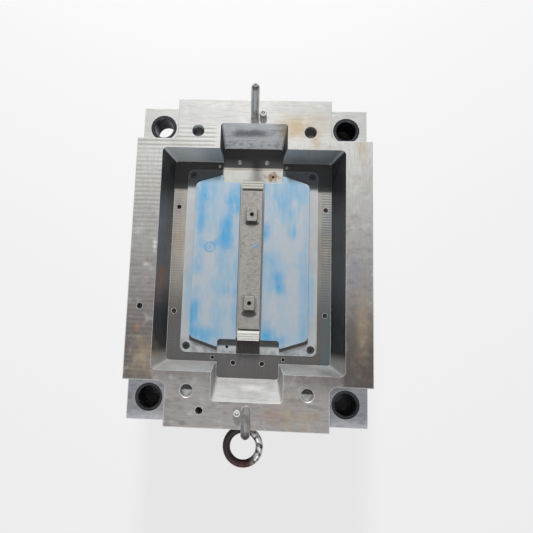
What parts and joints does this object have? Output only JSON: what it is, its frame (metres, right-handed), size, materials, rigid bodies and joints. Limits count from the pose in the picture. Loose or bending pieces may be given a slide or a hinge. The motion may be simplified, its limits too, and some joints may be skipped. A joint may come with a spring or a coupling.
{
  "type": "mould base",
  "caption": "Moving half of an injection mould base: core plate with tapered pocket, core inserts and angle pins, on spacer blocks over a sprung ejector set.",
  "frame": {"origin": "centre of the knockout hole in the clamp plate's back face", "axes": "+Z from the clamp face to the parting face, +Y along the length away from the lifting eye, +X across the width"},
  "size_m": [0.45, 0.6187, 0.2673],
  "materials": {
    "plate_steel": "ground and milled tool steel, lightly stained",
    "base_steel": "ground mild steel",
    "block_steel": "ground tool steel",
    "core_steel": "polished core steel with spotting blue",
    "strip_steel": "ground insert steel",
    "bar_steel": "bright ground steel",
    "pin_steel": "ground and hardened",
    "bush_steel": "hardened, oiled",
    "screw_steel": "black oxide",
    "keeper_steel": "bright",
    "eye_steel": "browned forging",
    "spring_steel": "blue lacquer"
  },
  "bodies": {
    "core_side": {"clamp_plate": "base_steel", "left_spacer_block": "base_steel", "right_spacer_block": "base_steel", "core_plate": "plate_steel", "guide_bushes": "bush_steel", "core_block": "block_steel", "left_core_panel": "core_steel", "right_core_panel": "core_steel", "centre_strip": "strip_steel", "far_end_bar": "bar_steel", "near_end_bar": "bar_steel", "far_pad": "strip_steel", "near_pad": "strip_steel", "far_angle_pin": "pin_steel", "near_angle_pin": "pin_steel", "keeper_screws": "keeper_steel", "block_screws": "screw_steel", "core_screws": "screw_steel", "return_springs": "spring_steel", "stop_buttons": "bush_steel", "support_pillars": "base_steel", "spacer_dowels": "pin_steel", "main_screws": "screw_steel", "pillar_screws": "screw_steel"},
    "ejector_set": {"ejector_plate": "base_steel", "ejector_retainer_plate": "base_steel", "return_pins": "pin_steel", "floor_ejector_pins": "pin_steel", "block_ejector_pins": "pin_steel", "pad_ejector_pins": "pin_steel", "ejector_screws": "screw_steel"},
    "lifting_eye": {"lifting_eye": "eye_steel"}
  },
  "joints": [
    {"name": "ejector_stroke", "type": "slide", "parent": "core_side", "child": "ejector_set", "axis": [0, 0, 1], "range_m": [0, 0.04], "stiffness_N_per_m": 20000, "springref_m": -0.02, "deforming": ["return_springs"]},
    {"name": "lifting_eye_turn", "type": "hinge", "parent": "core_side", "child": "lifting_eye", "pos_m": [-0.0035, -0.273, 0.161], "axis": [0, -1, 0], "range_deg": [0, 180]}
  ]
}
